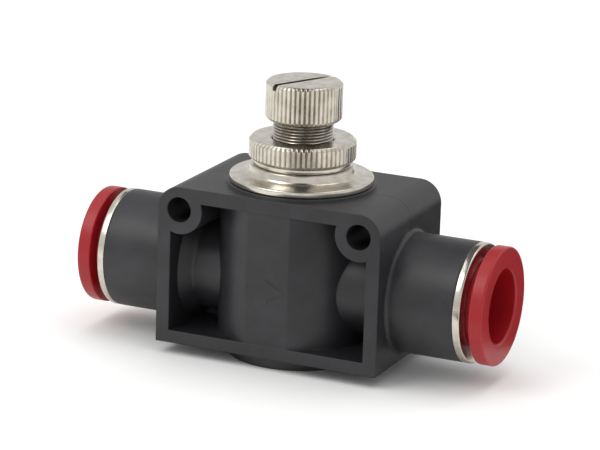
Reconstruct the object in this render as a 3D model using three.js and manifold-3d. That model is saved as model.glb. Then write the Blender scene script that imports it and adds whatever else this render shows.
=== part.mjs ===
// Flow control valve with two push-in tube ports: a moulded body, a brass bonnet with a
// needle spindle, a lock nut and a knob, and a release collet in each port.
// Millimetres. +X is the metered flow direction, -Y the front, +Z up to the knob.
// Heights in the dimensions below count from the axis of the two ports; the whole valve
// then stands on its bottom boss at z = 0.
import * as THREE from "three";
import { mergeVertices } from "three/addons/utils/BufferGeometryUtils.js";
import Module from "manifold-3d";

const wasm = await Module();
wasm.setup();

// ---- driving dimensions -------------------------------------------------------------
const TUBE_DIAMETER = 12; // the tube each port takes
const AXIS_HEIGHT = 13; // port axis above the bottom boss face
const SEAT_GAP = 0.05; // axial gap between two seated faces
const RUN_GAP = 0.09; // radial gap between screwed or sliding pieces
const ROUND = 40; // facets round a large diameter
const SMALL_ROUND = 24; // facets round a small or hidden one

const FRAME = {
  halfWidth: 19.5,
  halfDepth: 12.75,
  bottom: -11,
  top: 15.4,
  sideWall: 2.25,
  bottomWall: 2.1,
  topWall: 2.35,
  webThickness: 2,
  cornerRadius: 3.75, // the two mounting holes run through its centres
  bossRadius: 4.05,
  holeRadius: 2.1, // clears an M4 screw
};
const TOWER = {
  radius: 13.05, // vertical barrel behind the front flat
  flatDepth: 12.5, // the flats stand just inside the frame's faces
  footRadius: 11.5,
  lipRadius: 12.2,
  lipHeight: 0.45,
  bushBoreRadius: 9.2,
  bushBoreFloor: 8.4,
  chamberRadius: 7.5,
  chamberFloor: -8.6,
};
const BARREL = {
  radius: 9.8,
  end: 30.9,
  innerRadius: 8, // beside the tower
  flareStart: 15.35, // from here it widens at 45 degrees, up to the frame's side wall
  rootFillet: 0.8,
  ringBoreRadius: 8.6,
  ringBoreEnd: 25.3,
  sealBoreRadius: 8.2,
  sealBoreEnd: 20.5,
  tubeStop: 14.5,
  passageRadius: 3,
  passageOffset: 3.8, // the inlet runs this far under the axis, the outlet over it
};
const ARROW = {
  shaftHeight: 0.55,
  headHeight: 0.25,
  tail: -4.2,
  shaftEnd: -0.1,
  tip: 3.5,
  headLength: 3.4,
  headHalfHeight: 1.85,
  line: 0.5, // width of the engraved line
  depth: 0.2,
};
const BUSH = {
  flangeRadius: 11.77,
  flangeTop: 17.03,
  filletRadius: 10.95,
  neckRadius: 8.5,
  neckTop: 18.75,
  sealBoreRadius: 5.9,
  sealBoreTop: 12.5,
  noseRadius: 6.8,
  noseBottom: 4.6,
  grooveRadius: 7.9,
  grooveLow: 11.5,
  grooveHigh: 12.8,
};
const SPINDLE = {
  threadRadius: 4.95, // M10, with a fine pitch
  pitch: 0.5,
  threadDepth: 0.26,
  threadTop: 26.1,
  threadBottom: 18.7,
  knobSeatRadius: 3,
  knobSeatTop: 30.2,
  landRadius: 5.81, // wider than the thread, so that it stops under the bush at full open
  landTop: 9.3,
  landBottom: 5.3,
  grooveRadius: 4.3,
  grooveLow: 6.3,
  grooveHigh: 7.9,
  needleRadius: 2.95,
  taperTop: 2.25,
  tipRadius: 1.2,
  tip: -2.5,
};
const SEAT = {
  orificeRadius: 3,
  discTop: 1,
  discBottom: -1.5,
  landRadius: 7,
  grooveRadius: 6.4,
  grooveLow: -1.2,
  grooveHigh: 0.7,
  skirtRadius: 6.75,
  skirtBore: 5.95, // the spindle's land passes inside it when the needle closes
  windowWidth: 5,
};
const NUT = {
  radius: 8.74,
  bottom: 19.6,
  top: 23.2,
  chamfer: 0.45,
  teeth: 64,
  toothDepth: 0.4,
};
const WASHER = { radius: 7.9, bottom: 18.8, top: 19.55 };
const KNOB = {
  radius: 6.26,
  bottom: 26.15,
  top: 32.5,
  topChamfer: 0.4,
  bottomChamfer: 0.5,
  teeth: 50,
  toothDepth: 0.4,
  slotWidth: 0.9,
  slotDepth: 1,
  slotAngle: 64, // degrees from +X
};
const PORT_RING = {
  radius: 9.79,
  face: 32.15,
  sleeveRadius: 8.5,
  sleeveEnd: 25.4,
  boreRadius: 7.3,
  hookBoreRadius: 7.75,
  hookBoreEnd: 28.7,
};
const COLLET = {
  boreRadius: TUBE_DIAMETER / 2 + 0.1,
  sleeveRadius: 7.1,
  innerEnd: 26.6,
  hookRadius: 7.6,
  hookStart: 27.8,
  hookEnd: 28.6,
  flangeRadius: 9.67,
  flangeBack: 33.6,
  face: 35.87,
  edgeRadius: 0.35,
  mouthChamfer: 0.2,
  slits: 4,
  slitWidth: 1,
  slitEnd: 30,
};
const GRIP = {
  rimRadius: 8.4,
  rimInner: 25,
  rimOuter: 25.3,
  bendRadius: 7.4,
  tipRadius: TUBE_DIAMETER / 2 + 0.1,
  tip: 24,
  slots: 12,
  slotWidth: 0.6,
};
const SUPPORT = { inner: 22.85, outer: 23.7, radius: 8.1, bore: 6.3 };
const TUBE_SEAL = { centreRadius: 7.15, sectionRadius: 0.98, centre: 21.7 };

// ---- solids -------------------------------------------------------------------------
function toSolid(geometry) {
  geometry.deleteAttribute("normal");
  geometry.deleteAttribute("uv");
  const merged = mergeVertices(geometry, 1e-4);
  const build = (triVerts) =>
    new wasm.Manifold(
      new wasm.Mesh({
        numProp: 3,
        vertProperties: merged.attributes.position.array,
        triVerts,
      }),
    );
  const triVerts = new Uint32Array(merged.index.array);
  const made = build(triVerts);
  return made.volume() < 0 ? build(triVerts.reverse()) : made;
}

function toGeometry(solid) {
  const mesh = solid.getMesh();
  const geometry = new THREE.BufferGeometry()
    .setAttribute("position", new THREE.BufferAttribute(mesh.vertProperties, 3))
    .setIndex(new THREE.BufferAttribute(mesh.triVerts, 1));
  geometry.computeVertexNormals();
  return geometry;
}

const union = (first, ...rest) => rest.reduce((sum, s) => sum.add(s), first);
const cut = (first, ...rest) => rest.reduce((left, s) => left.subtract(s), first);

// A profile of [radius, height] pairs turned round Z; a profile off the axis closes on itself.
function turned(profile, facets = ROUND) {
  const points = profile.map(([r, z]) => new THREE.Vector2(r, z));
  if (profile[0][0] > 0) points.push(points[0].clone());
  return toSolid(new THREE.LatheGeometry(points, facets).rotateX(Math.PI / 2));
}

// The same, turned round X: each pair is [radius, x].
function turnedX(profile, facets = ROUND) {
  const points = profile.map(([r, x]) => new THREE.Vector2(r, x));
  if (profile[0][0] > 0) points.push(points[0].clone());
  return toSolid(new THREE.LatheGeometry(points, facets).rotateZ(-Math.PI / 2));
}

const rod = (radius, low, high) => [
  [0, low],
  [radius, low],
  [radius, high],
  [0, high],
];

function box([x0, x1], [y0, y1], [z0, z1]) {
  const geometry = new THREE.BoxGeometry(x1 - x0, y1 - y0, z1 - z0);
  return toSolid(geometry.translate((x0 + x1) / 2, (y0 + y1) / 2, (z0 + z1) / 2));
}

// A rod along Y through the point (x, z).
function rodY(radius, x, z, low, high, facets = SMALL_ROUND) {
  const geometry = new THREE.CylinderGeometry(radius, radius, high - low, facets);
  return toSolid(geometry.translate(x, (low + high) / 2, z));
}

// An O-ring round Z whose section is centred at the given radius and height.
function oRing(centreRadius, sectionRadius, height, facets = SMALL_ROUND, turn = turned) {
  const section = [];
  const steps = 8;
  for (let i = 0; i < steps; i++) {
    const angle = (2 * Math.PI * i) / steps;
    section.push([
      centreRadius + sectionRadius * Math.cos(angle),
      height + sectionRadius * Math.sin(angle),
    ]);
  }
  return turn(section, facets);
}

// A bar with straight knurled teeth, trimmed to the chamfered outline.
function knurled(radius, teeth, depth, outline) {
  const shape = new THREE.Shape();
  const points = [];
  for (let i = 0; i < 2 * teeth; i++) {
    const angle = (Math.PI * i) / teeth;
    const r = i % 2 ? radius - depth : radius;
    points.push(new THREE.Vector2(r * Math.cos(angle), r * Math.sin(angle)));
  }
  shape.setFromPoints(points);
  const heights = outline.map(([, z]) => z);
  const low = Math.min(...heights);
  const bar = new THREE.ExtrudeGeometry(shape, {
    depth: Math.max(...heights) - low,
    bevelEnabled: false,
  });
  return toSolid(bar.translate(0, 0, low)).intersect(turned(outline));
}

// ---- moulded body -------------------------------------------------------------------
const BOSS_X = FRAME.halfWidth - FRAME.cornerRadius;
const BOSS_Z = FRAME.top - FRAME.cornerRadius;

function frameBlock() {
  const { halfWidth: w, halfDepth, bottom, top, cornerRadius: r } = FRAME;
  const outline = new THREE.Shape();
  outline.moveTo(-w, bottom);
  outline.lineTo(w, bottom);
  outline.lineTo(w, top - r);
  outline.absarc(w - r, top - r, r, 0, Math.PI / 2, false);
  outline.lineTo(-w + r, top);
  outline.absarc(-w + r, top - r, r, Math.PI / 2, Math.PI, false);
  const block = new THREE.ExtrudeGeometry(outline, {
    depth: 2 * halfDepth,
    bevelEnabled: false,
    curveSegments: 10,
  });
  return toSolid(block.rotateX(Math.PI / 2).translate(0, halfDepth, 0));
}

// The pocket on the front (side -1) or the back (side +1), down to the middle web.
function pocket(side) {
  const x = FRAME.halfWidth - FRAME.sideWall;
  const z = [FRAME.bottom + FRAME.bottomWall, FRAME.top - FRAME.topWall];
  const near = (side * FRAME.webThickness) / 2;
  const far = side * (FRAME.halfDepth + 1);
  return box([-x, x], [Math.min(near, far), Math.max(near, far)], z);
}

function tower() {
  const { halfWidth, bottom, top } = FRAME;
  const barrel = turned(rod(TOWER.radius, bottom, top));
  const span = box([-halfWidth, halfWidth], [-TOWER.flatDepth, TOWER.flatDepth], [bottom, top]);
  return union(
    barrel.intersect(span),
    turned(rod(TOWER.footRadius, -AXIS_HEIGHT, bottom + 1)),
    turned(rod(TOWER.lipRadius, top - 1, top + TOWER.lipHeight)),
  );
}

// One port's barrel on the +X side, flared inside the pocket and filleted outside.
function portBarrel() {
  const { radius, end, innerRadius, flareStart, rootFillet: f } = BARREL;
  const wall = FRAME.halfWidth;
  return turnedX([
    [0, 0],
    [innerRadius, 0],
    [innerRadius, flareStart],
    [radius, flareStart + radius - innerRadius],
    [radius, wall - f],
    [radius + f, wall - f],
    [radius + f, wall],
    [radius + 0.3 * f, wall + 0.3 * f],
    [radius, wall + f],
    [radius, end - 0.2],
    [radius - 0.2, end],
    [0, end],
  ]);
}

// What one port's barrel is bored out by: the ring bore, seal bore, tube socket and passage.
function portBore(side) {
  const b = BARREL;
  const socket = TUBE_DIAMETER / 2 + 0.05;
  const bores = turnedX([
    [0, b.tubeStop],
    [socket, b.tubeStop],
    [socket, b.sealBoreEnd],
    [b.sealBoreRadius, b.sealBoreEnd],
    [b.sealBoreRadius, b.ringBoreEnd - 0.5],
    [b.ringBoreRadius, b.ringBoreEnd - 0.5],
    [b.ringBoreRadius, b.end + 1],
    [0, b.end + 1],
  ]);
  const reach = rod(b.passageRadius, TOWER.chamberRadius - 2, b.tubeStop + 1);
  const passage = turnedX(reach, SMALL_ROUND);
  return bores.add(passage.translate([0, 0, side * b.passageOffset]));
}

const turnAboutZ = (solid) => solid.rotate([0, 0, 180]);

// The bosses are a little wider than the frame's corners, and are trimmed to its outline.
function mountingBosses() {
  const { bossRadius, halfDepth } = FRAME;
  const rods = [-BOSS_X, BOSS_X].map((x) =>
    rodY(bossRadius, x, BOSS_Z, -halfDepth, halfDepth, ROUND),
  );
  return union(...rods).intersect(frameBlock());
}

function mountingHoles() {
  const reach = FRAME.halfDepth + 1;
  return [-BOSS_X, BOSS_X].map((x) => rodY(FRAME.holeRadius, x, BOSS_Z, -reach, reach));
}

// A line to engrave on the front flat from one point to another, each [x, z].
function engravedLine([x0, z0], [x1, z1]) {
  const length = Math.hypot(x1 - x0, z1 - z0) + ARROW.line;
  const bar = new THREE.BoxGeometry(length, 2 * ARROW.depth, ARROW.line);
  bar.rotateY(-Math.atan2(z1 - z0, x1 - x0));
  return toSolid(bar.translate((x0 + x1) / 2, -TOWER.flatDepth, (z0 + z1) / 2));
}

function flowArrow() {
  const { shaftHeight, headHeight, tail, shaftEnd, tip, headLength, headHalfHeight } = ARROW;
  return [
    engravedLine([tail, shaftHeight], [shaftEnd, shaftHeight]),
    engravedLine([tip - headLength, headHeight + headHalfHeight], [tip, headHeight]),
    engravedLine([tip - headLength, headHeight - headHalfHeight], [tip, headHeight]),
  ];
}

function valveBody() {
  const outside = union(
    cut(frameBlock(), pocket(-1), pocket(1)),
    mountingBosses(),
    tower(),
    portBarrel(),
    turnAboutZ(portBarrel()),
  );
  const towerBore = turned([
    [0, TOWER.chamberFloor],
    [TOWER.chamberRadius, TOWER.chamberFloor],
    [TOWER.chamberRadius, TOWER.bushBoreFloor],
    [TOWER.bushBoreRadius, TOWER.bushBoreFloor],
    [TOWER.bushBoreRadius, FRAME.top + 1],
    [0, FRAME.top + 1],
  ]);
  const portBores = [portBore(1), turnAboutZ(portBore(-1))];
  return cut(outside, towerBore, ...portBores, ...mountingHoles(), ...flowArrow());
}

// ---- bonnet -------------------------------------------------------------------------
function bonnetBush() {
  const b = BUSH;
  const bore = SPINDLE.threadRadius + RUN_GAP;
  const bodyRadius = TOWER.bushBoreRadius - 0.1;
  const flangeBottom = FRAME.top + TOWER.lipHeight + SEAT_GAP;
  const floor = TOWER.bushBoreFloor + SEAT_GAP;
  return turned([
    [bore, b.sealBoreTop],
    [b.sealBoreRadius, b.sealBoreTop],
    [b.sealBoreRadius, b.noseBottom],
    [b.noseRadius, b.noseBottom],
    [b.noseRadius, floor],
    [bodyRadius, floor],
    [bodyRadius, b.grooveLow],
    [b.grooveRadius, b.grooveLow],
    [b.grooveRadius, b.grooveHigh],
    [bodyRadius, b.grooveHigh],
    [bodyRadius, flangeBottom],
    [b.flangeRadius - 0.15, flangeBottom],
    [b.flangeRadius, flangeBottom + 0.2],
    [b.flangeRadius, b.flangeTop - 0.35],
    [b.flangeRadius - 0.12, b.flangeTop - 0.1],
    [b.flangeRadius - 0.4, b.flangeTop],
    [b.filletRadius, b.flangeTop],
    [b.filletRadius - 1.1, b.flangeTop + 0.18],
    [b.filletRadius - 1.85, b.flangeTop + 0.55],
    [b.neckRadius + 0.12, b.flangeTop + 0.95],
    [b.neckRadius, b.neckTop - 0.25],
    [b.neckRadius - 0.2, b.neckTop],
    [bore + 0.3, b.neckTop],
    [bore, b.neckTop - 0.3],
  ]);
}

function bushORing() {
  const { grooveRadius, grooveLow, grooveHigh } = BUSH;
  const section = (TOWER.bushBoreRadius - grooveRadius - 0.1) / 2;
  return oRing(grooveRadius + 0.03 + section, section, (grooveLow + grooveHigh) / 2, ROUND);
}

// ---- metering cartridge ---------------------------------------------------------------
function seatSleeve() {
  const s = SEAT;
  const low = TOWER.chamberFloor + SEAT_GAP;
  const high = BUSH.noseBottom - SEAT_GAP;
  const sleeve = turned([
    [s.orificeRadius, s.discTop],
    [s.skirtBore, s.discTop],
    [s.skirtBore, high],
    [s.skirtRadius, high],
    [s.skirtRadius, s.discTop],
    [s.landRadius, s.discTop],
    [s.landRadius, s.grooveHigh],
    [s.grooveRadius, s.grooveHigh],
    [s.grooveRadius, s.grooveLow],
    [s.landRadius, s.grooveLow],
    [s.landRadius, s.discBottom],
    [s.skirtRadius, s.discBottom],
    [s.skirtRadius, low],
    [s.skirtBore, low],
    [s.skirtBore, s.discBottom],
    [s.orificeRadius, s.discBottom],
  ], SMALL_ROUND);
  const half = s.windowWidth / 2;
  const reach = [-TOWER.chamberRadius, TOWER.chamberRadius];
  const windows = [
    [low + 1.2, s.discBottom - 0.4],
    [s.discTop + 0.4, high - 0.8],
  ].flatMap((span) => [box(reach, [-half, half], span), box([-half, half], reach, span)]);
  return cut(sleeve, ...windows);
}

// The one-way seal: its lip leans out and down, so reverse flow folds it in.
function checkLipSeal() {
  const { grooveRadius, grooveLow, grooveHigh } = SEAT;
  const inner = grooveRadius + 0.03;
  const outer = TOWER.chamberRadius - 0.05;
  return turned(
    [
      [inner, grooveLow + 0.05],
      [inner + 0.3, grooveLow + 0.05],
      [inner + 0.45, grooveLow + 0.9],
      [outer - 0.25, grooveLow + 0.1],
      [outer, grooveLow + 0.2],
      [inner + 0.65, grooveHigh - 0.05],
      [inner, grooveHigh - 0.05],
    ],
    SMALL_ROUND,
  );
}

// ---- spindle, lock nut and knob -------------------------------------------------------
// The thread as rings: crest and root pairs one pitch apart, from the top down.
function threadRings() {
  const { threadRadius, threadDepth, threadTop, threadBottom, pitch } = SPINDLE;
  const rings = [];
  for (let z = threadTop - 0.2; z - pitch > threadBottom; z -= pitch) {
    rings.push([threadRadius, z], [threadRadius - threadDepth, z - pitch / 2]);
  }
  return rings;
}

function needleSpindle() {
  const s = SPINDLE;
  return turned(
    [
      [0, s.knobSeatTop],
      [s.knobSeatRadius, s.knobSeatTop],
      [s.knobSeatRadius, s.threadTop],
      [s.threadRadius - s.threadDepth, s.threadTop],
      ...threadRings(),
      [s.threadRadius, s.threadBottom],
      [s.threadRadius, s.landTop],
      [s.landRadius, s.landTop],
      [s.landRadius, s.grooveHigh],
      [s.grooveRadius, s.grooveHigh],
      [s.grooveRadius, s.grooveLow],
      [s.landRadius, s.grooveLow],
      [s.landRadius, s.landBottom],
      [s.needleRadius, s.landBottom - 0.6],
      [s.needleRadius, s.taperTop],
      [s.tipRadius, s.tip],
      [0, s.tip],
    ],
    SMALL_ROUND,
  );
}

function spindleORing() {
  const { grooveRadius, grooveLow, grooveHigh } = SPINDLE;
  const section = (BUSH.sealBoreRadius - grooveRadius - 0.12) / 2;
  return oRing(grooveRadius + 0.04 + section, section, (grooveLow + grooveHigh) / 2);
}

function lockNut() {
  const { radius, bottom, top, chamfer, teeth, toothDepth } = NUT;
  const bore = SPINDLE.threadRadius + RUN_GAP;
  return knurled(radius, teeth, toothDepth, [
    [bore, bottom + 0.3],
    [bore + 0.3, bottom],
    [radius - chamfer, bottom],
    [radius, bottom + chamfer],
    [radius, top - chamfer],
    [radius - chamfer, top],
    [bore + 0.3, top],
    [bore, top - 0.3],
  ]);
}

function nutWasher() {
  const bore = SPINDLE.threadRadius + 0.3;
  return turned([
    [bore, WASHER.bottom],
    [WASHER.radius, WASHER.bottom],
    [WASHER.radius, WASHER.top],
    [bore, WASHER.top],
  ]);
}

function regulatingKnob() {
  const k = KNOB;
  const socketTop = SPINDLE.knobSeatTop + SEAT_GAP;
  const blank = knurled(k.radius, k.teeth, k.toothDepth, [
    [0, k.bottom],
    [k.radius - k.bottomChamfer, k.bottom],
    [k.radius, k.bottom + k.bottomChamfer],
    [k.radius, k.top - k.topChamfer],
    [k.radius - k.topChamfer, k.top],
    [0, k.top],
  ]);
  const half = k.slotWidth / 2;
  const slot = box([-k.radius - 1, k.radius + 1], [-half, half], [k.top - k.slotDepth, k.top + 1]);
  const socket = turned(rod(SPINDLE.knobSeatRadius + 0.03, k.bottom - 1, socketTop), SMALL_ROUND);
  return cut(blank, slot.rotate([0, 0, k.slotAngle]), socket);
}

// ---- one port's loose pieces, on the +X side ------------------------------------------
function portRing() {
  const p = PORT_RING;
  const back = BARREL.end + SEAT_GAP;
  return turnedX([
    [p.boreRadius, p.hookBoreEnd],
    [p.hookBoreRadius, p.hookBoreEnd],
    [p.hookBoreRadius, p.sleeveEnd],
    [p.sleeveRadius, p.sleeveEnd],
    [p.sleeveRadius, back],
    [p.radius, back],
    [p.radius, p.face - 0.3],
    [p.radius - 0.1, p.face - 0.08],
    [p.radius - 0.3, p.face],
    [p.boreRadius, p.face],
  ]);
}

function releaseCollet() {
  const c = COLLET;
  const e = c.edgeRadius;
  const rounded = 0.3 * e; // how far the middle of a rounded edge sits in from the corner
  const sleeve = turnedX([
    [c.boreRadius, c.innerEnd],
    [c.sleeveRadius, c.innerEnd],
    [c.sleeveRadius, c.hookStart],
    [c.hookRadius, c.hookStart + 0.4],
    [c.hookRadius, c.hookEnd],
    [c.sleeveRadius, c.hookEnd],
    [c.sleeveRadius, c.flangeBack],
    [c.flangeRadius - e, c.flangeBack],
    [c.flangeRadius - rounded, c.flangeBack + rounded],
    [c.flangeRadius, c.flangeBack + e],
    [c.flangeRadius, c.face - e],
    [c.flangeRadius - rounded, c.face - rounded],
    [c.flangeRadius - e, c.face],
    [c.boreRadius + c.mouthChamfer, c.face],
    [c.boreRadius, c.face - c.mouthChamfer],
  ]);
  const half = c.slitWidth / 2;
  const slit = box([c.innerEnd - 1, c.slitEnd], [-half, half], [-c.hookRadius - 1, c.hookRadius + 1]);
  const slits = [];
  for (let i = 0; i < c.slits / 2; i++) slits.push(slit.rotate([45 + (360 / c.slits) * i, 0, 0]));
  return cut(sleeve, ...slits);
}

function gripRing() {
  const g = GRIP;
  const thickness = g.rimOuter - g.rimInner;
  const disc = turnedX([
    [g.tipRadius, g.tip],
    [g.tipRadius + 0.2, g.tip - 0.1],
    [g.bendRadius, g.rimInner],
    [g.rimRadius, g.rimInner],
    [g.rimRadius, g.rimOuter],
    [g.bendRadius, g.rimOuter],
    [g.tipRadius, g.tip + thickness],
  ], SMALL_ROUND);
  const half = g.slotWidth / 2;
  const slot = box([g.tip - 1, g.rimOuter + 1], [-half, half], [0, g.bendRadius]);
  const slots = [];
  for (let i = 0; i < g.slots; i++) slots.push(slot.rotate([(360 / g.slots) * i, 0, 0]));
  return cut(disc, ...slots);
}

function supportRing() {
  const { inner, outer, radius, bore } = SUPPORT;
  return turnedX([
    [bore, inner],
    [radius, inner],
    [radius, outer],
    [bore, outer],
  ], SMALL_ROUND);
}

const tubeSeal = () =>
  oRing(TUBE_SEAL.centreRadius, TUBE_SEAL.sectionRadius, TUBE_SEAL.centre, SMALL_ROUND, turnedX);

// ---- assembly -------------------------------------------------------------------------
const MATERIALS = {
  nylon: { color: 0x3b3c3f, roughness: 0.55, metalness: 0 },
  nickel: { color: 0xc4bfb2, roughness: 0.28, metalness: 1 },
  acetal: { color: 0xb3262c, roughness: 0.4, metalness: 0 },
  whiteAcetal: { color: 0xe6e4dc, roughness: 0.45, metalness: 0 },
  rubber: { color: 0x1c1c1d, roughness: 0.75, metalness: 0 },
  stainless: { color: 0xb4b6b8, roughness: 0.3, metalness: 1 },
  brass: { color: 0xc2a25a, roughness: 0.32, metalness: 1 },
};

function mesh(name, solid, material) {
  const made = new THREE.Mesh(
    toGeometry(solid),
    new THREE.MeshStandardMaterial(MATERIALS[material]),
  );
  made.name = name;
  return made;
}

// Everything that one port holds, in a group whose +X points out of the port.
function portGroup(side) {
  const port = new THREE.Group();
  port.name = `${side}_port`;
  port.add(
    mesh(`${side}_port_ring`, portRing(), "nickel"),
    mesh(`${side}_release_collet`, releaseCollet(), "acetal"),
    mesh(`${side}_grip_ring`, gripRing(), "stainless"),
    mesh(`${side}_support_ring`, supportRing(), "whiteAcetal"),
    mesh(`${side}_tube_seal`, tubeSeal(), "rubber"),
  );
  return port;
}

const valve = new THREE.Group();
valve.name = "valve";
valve.position.z = AXIS_HEIGHT;
valve.add(
  mesh("valve_body", valveBody(), "nylon"),
  mesh("bonnet_bush", bonnetBush(), "nickel"),
  mesh("bush_o_ring", bushORing(), "rubber"),
  mesh("seat_sleeve", seatSleeve(), "brass"),
  mesh("check_lip_seal", checkLipSeal(), "rubber"),
  mesh("needle_spindle", needleSpindle(), "nickel"),
  mesh("spindle_o_ring", spindleORing(), "rubber"),
  mesh("nut_washer", nutWasher(), "nickel"),
  mesh("lock_nut", lockNut(), "nickel"),
  mesh("regulating_knob", regulatingKnob(), "nickel"),
);
const leftPort = portGroup("left");
leftPort.rotation.z = Math.PI;
valve.add(leftPort, portGroup("right"));

const group = new THREE.Group();
group.add(valve);

export default group;
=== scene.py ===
"""Looks of an in-line flow control valve with two push-in tube ports.

Lengths are metres in the valve's own frame: +X is the metered flow, -Y the front and +Z up the
spindle. The valve stands on z = 0. Profiles are written in millimetres for reading, as corners
[radius, station, rounding], and one function rounds their corners.
"""

import math

import bmesh
import bpy
import numpy as np
from mathutils import Matrix, Vector


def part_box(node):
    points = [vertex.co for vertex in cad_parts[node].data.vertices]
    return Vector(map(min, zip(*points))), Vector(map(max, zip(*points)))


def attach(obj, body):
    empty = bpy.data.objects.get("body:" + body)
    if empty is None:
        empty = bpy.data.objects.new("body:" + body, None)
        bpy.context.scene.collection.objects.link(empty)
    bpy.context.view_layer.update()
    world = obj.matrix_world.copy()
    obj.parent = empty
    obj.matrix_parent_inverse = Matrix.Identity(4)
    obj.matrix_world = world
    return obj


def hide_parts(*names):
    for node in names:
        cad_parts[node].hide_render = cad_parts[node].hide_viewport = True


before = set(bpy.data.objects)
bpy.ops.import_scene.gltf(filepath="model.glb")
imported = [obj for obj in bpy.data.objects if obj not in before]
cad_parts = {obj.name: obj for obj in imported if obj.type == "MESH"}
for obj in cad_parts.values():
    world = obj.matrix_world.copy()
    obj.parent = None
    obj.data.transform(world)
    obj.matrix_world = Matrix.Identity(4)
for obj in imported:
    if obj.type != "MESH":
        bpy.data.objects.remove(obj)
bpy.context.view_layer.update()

bl_info = {
    "name": "Flow control valve looks",
    "version": (1, 0, 0),
    "blender": (4, 5, 0),
    "location": "View3D > Sidebar > Flow valve",
    "description": "Builds the visible surfaces and finishes of a push-in flow control valve",
    "category": "Object",
}

MM = 0.001
TURN = 2 * math.pi


def size_of(node):
    """Half width across X, half width across Y and the two ends in Z of a CAD node."""
    low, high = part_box(node)
    return (high.x - low.x) / 2, (high.y - low.y) / 2, low.z, high.z


AXIS = sum(size_of("left_port_ring")[2:]) / 2  # height of the ports' common axis
FRONT = -size_of("valve_body")[1]  # plane of the frame's front edge


def linear(code):
    """An sRGB hex colour as linear red, green and blue."""
    channels = np.array([int(code[i : i + 2], 16) for i in (1, 3, 5)]) / 255
    low = channels / 12.92
    high = ((channels + 0.055) / 1.055) ** 2.4
    return tuple(float(c) for c in np.where(channels <= 0.04045, low, high))


# ---- what a user would change -----------------------------------------------------------


def length(name, description, millimetres):
    return bpy.props.FloatProperty(
        name=name,
        description=description,
        default=millimetres * MM,
        min=0,
        precision=5,
        subtype="DISTANCE",
        unit="LENGTH",
    )


def colour(name, description, code):
    return bpy.props.FloatVectorProperty(
        name=name,
        description=description,
        default=linear(code),
        size=3,
        min=0,
        max=1,
        subtype="COLOR",
    )


class FlowValveSizes(bpy.types.PropertyGroup):
    knob_teeth: bpy.props.IntProperty(
        name="Knob teeth", description="Straight knurl teeth round the knob", default=50, min=8
    )
    nut_teeth: bpy.props.IntProperty(
        name="Nut teeth", description="Straight knurl teeth round the lock nut", default=64, min=8
    )
    tooth_depth: length("Tooth depth", "Depth of a knurl tooth", 0.38)
    thread_pitch: length("Thread pitch", "Lead of the spindle's fine thread", 0.5)
    thread_depth: length("Thread depth", "Crest to root of the spindle's thread", 0.27)
    slot_width: length("Slot width", "Width of the knob's screwdriver slot", 0.9)
    slot_depth: length("Slot depth", "Depth of the knob's screwdriver slot", 1.0)
    slot_angle: bpy.props.FloatProperty(
        name="Slot angle",
        description="Direction of the screwdriver slot from +X",
        default=math.radians(64),
        subtype="ANGLE",
        unit="ROTATION",
    )
    mould_radius: length("Mould edge radius", "Softening of the moulded body's edges", 0.3)


class FlowValveColours(bpy.types.PropertyGroup):
    nylon: colour("Nylon", "Glass-filled nylon of the body", "#1E1E21")
    nylon_bloom: colour("Nylon bloom", "Paler skin where glass fibre lies near the face", "#2A2A2E")
    nickel: colour("Nickel", "Nickel plate over turned brass", "#D3CDC3")
    nickel_dull: colour("Nickel, dull", "Plate where it has hazed", "#C3BCAF")
    # painted shade: the dark colour that the thread's grooves are painted with, in place of the
    # shade that falls in them
    thread_root_painted_shade: colour("Thread root", "Oil and dirt at the bottom of the thread", "#3A352D")
    acetal: colour("Red acetal", "Release collets", "#A8101B")
    acetal_deep: colour("Red acetal, deep", "Swirls of pigment in the collets", "#930C16")
    white_acetal: colour("White acetal", "Support rings behind the tube seals", "#E4E1D8")
    rubber: colour("Rubber", "Nitrile seals", "#1A1A1B")
    stainless: colour("Stainless", "Stamped grip rings", "#B9BBBC")
    brass: colour("Brass", "Turned seat sleeve", "#C4A15A")
    card: colour("Card", "Dark cards out of view for the metal to reflect", "#2A2A2A")
    floor: colour("Floor", "Pale studio floor", "#FAFAF9")


# ---- surfaces ---------------------------------------------------------------------------


def rounded(corners, steps=5):
    """A profile [radius, station] in metres from corners [radius, station, rounding] in mm.

    Each corner P with rounding d becomes the quadratic curve
    (1-t)^2 A + 2t(1-t) P + t^2 B, where A and B lie d back and d on along its two sides.
    The profile closes on itself, unless its ends are on the axis.
    """
    table = np.array(corners, float)
    corner, cut = table[:, :2], table[:, 2:3]
    before, after = np.roll(corner, 1, 0) - corner, np.roll(corner, -1, 0) - corner
    start = corner + before / np.linalg.norm(before, axis=1, keepdims=True) * cut
    end = corner + after / np.linalg.norm(after, axis=1, keepdims=True) * cut
    t = np.linspace(0, 1, steps)[None, :, None]
    curve = (
        (1 - t) ** 2 * start[:, None] + 2 * t * (1 - t) * corner[:, None] + t**2 * end[:, None]
    )
    points = curve.reshape(-1, 2)
    moved = np.linalg.norm(np.diff(points, axis=0, prepend=points[:1] - 1), axis=1) > 1e-6
    return points[moved] * MM


def densified(profile, spacing):
    """The profile with extra points, so that no step along it is longer than spacing (m)."""
    steps = np.linalg.norm(np.diff(profile, axis=0), axis=1)
    along = np.concatenate([[0], np.cumsum(steps)])
    count = max(2, int(along[-1] / spacing))
    stations = np.unique(np.concatenate([along, np.linspace(0, along[-1], count)]))
    return np.stack([np.interp(stations, along, profile[:, k]) for k in (0, 1)], 1)


def outward(mesh):
    """Merges points that coincide, and turns every face outwards."""
    work = bmesh.new()
    work.from_mesh(mesh)
    bmesh.ops.remove_doubles(work, verts=work.verts, dist=1e-7)
    bmesh.ops.recalc_face_normals(work, faces=work.faces)
    work.to_mesh(mesh)
    work.free()
    return mesh


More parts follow.
